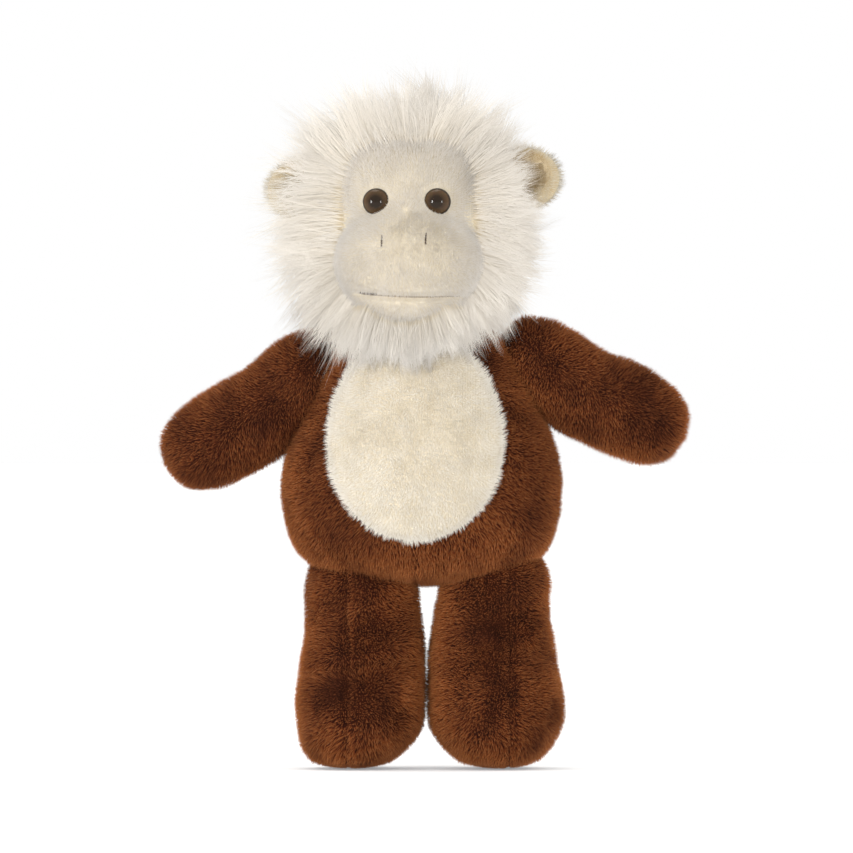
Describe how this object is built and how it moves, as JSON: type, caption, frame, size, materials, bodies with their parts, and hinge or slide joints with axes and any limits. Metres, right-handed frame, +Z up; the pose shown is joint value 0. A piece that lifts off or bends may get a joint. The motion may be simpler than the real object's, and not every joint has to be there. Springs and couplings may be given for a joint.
{
  "type": "stuffed monkey",
  "caption": "Soft plush monkey with a long-pile mane round a pale face, a pale belly panel, and limbs that swing from their seams.",
  "frame": {"origin": "on the ground under the toy, midway between its outermost points in X and Y", "axes": "+Z up; the face looks along -Y, so the toy's own left side is at +X"},
  "size_m": [0.24, 0.1196, 0.3122],
  "materials": {
    "brown_plush": "matte",
    "belly_plush": "matte",
    "face_plush": "matte",
    "mane_fur": "matte",
    "ear_plush": "matte",
    "stuffing": "matte",
    "stitch_thread": "matte",
    "seam_thread": "matte",
    "eye_plastic": "gloss",
    "washer_plastic": "satin"
  },
  "bodies": {
    "body": {"body_stuffing": "stuffing", "belly_panel": "belly_plush", "body_front_right": "brown_plush", "body_front_left": "brown_plush", "body_back_right": "brown_plush", "body_back_left": "brown_plush"},
    "neck": {"neck_thread": "seam_thread"},
    "head": {"head_stuffing": "stuffing", "face_panel": "face_plush", "mane_right": "mane_fur", "mane_left": "mane_fur", "muzzle_stuffing": "stuffing", "muzzle_right": "face_plush", "muzzle_left": "face_plush", "chin_panel": "face_plush", "mouth_stitch": "stitch_thread", "right_eye": "eye_plastic", "right_eye_washer": "washer_plastic", "right_nostril_stitch": "stitch_thread", "right_ear_front": "ear_plush", "right_ear_back": "mane_fur", "left_eye": "eye_plastic", "left_eye_washer": "washer_plastic", "left_nostril_stitch": "stitch_thread", "left_ear_front": "ear_plush", "left_ear_back": "mane_fur"},
    "right_shoulder": {"right_shoulder_thread": "seam_thread"},
    "right_arm": {"right_arm_stuffing": "stuffing", "right_arm_front": "brown_plush", "right_arm_back": "brown_plush"},
    "left_shoulder": {"left_shoulder_thread": "seam_thread"},
    "left_arm": {"left_arm_stuffing": "stuffing", "left_arm_front": "brown_plush", "left_arm_back": "brown_plush"},
    "right_leg": {"right_leg_stuffing": "stuffing", "right_leg_inner": "brown_plush", "right_leg_outer": "brown_plush"},
    "left_leg": {"left_leg_stuffing": "stuffing", "left_leg_inner": "brown_plush", "left_leg_outer": "brown_plush"}
  },
  "joints": [
    {"name": "neck_turn", "type": "hinge", "parent": "body", "child": "neck", "pos_m": [-0.0045, 0, 0.208], "axis": [0, 0, 1], "range_deg": [-30, 30]},
    {"name": "head_nod", "type": "hinge", "parent": "neck", "child": "head", "pos_m": [-0.0045, 0, 0.208], "axis": [0.9962, -0.0872, 0], "range_deg": [-12, 14]},
    {"name": "right_arm_raise", "type": "hinge", "parent": "body", "child": "right_shoulder", "pos_m": [-0.058, 0, 0.1735], "axis": [0, 1, 0], "range_deg": [-15, 40]},
    {"name": "right_arm_swing", "type": "hinge", "parent": "right_shoulder", "child": "right_arm", "pos_m": [-0.058, 0, 0.1735], "axis": [-0.4848, 0, 0.8746], "range_deg": [-30, 50]},
    {"name": "left_arm_raise", "type": "hinge", "parent": "body", "child": "left_shoulder", "pos_m": [0.058, 0, 0.1795], "axis": [0, -1, 0], "range_deg": [-15, 40]},
    {"name": "left_arm_swing", "type": "hinge", "parent": "left_shoulder", "child": "left_arm", "pos_m": [0.058, 0, 0.1795], "axis": [-0.4384, 0, -0.8988], "range_deg": [-30, 50]},
    {"name": "right_leg_swing", "type": "hinge", "parent": "body", "child": "right_leg", "pos_m": [-0.028, -0.022, 0.088], "axis": [-1, 0, 0], "range_deg": [-15, 80]},
    {"name": "left_leg_swing", "type": "hinge", "parent": "body", "child": "left_leg", "pos_m": [0.032, -0.022, 0.088], "axis": [-1, 0, 0], "range_deg": [-15, 80]}
  ]
}
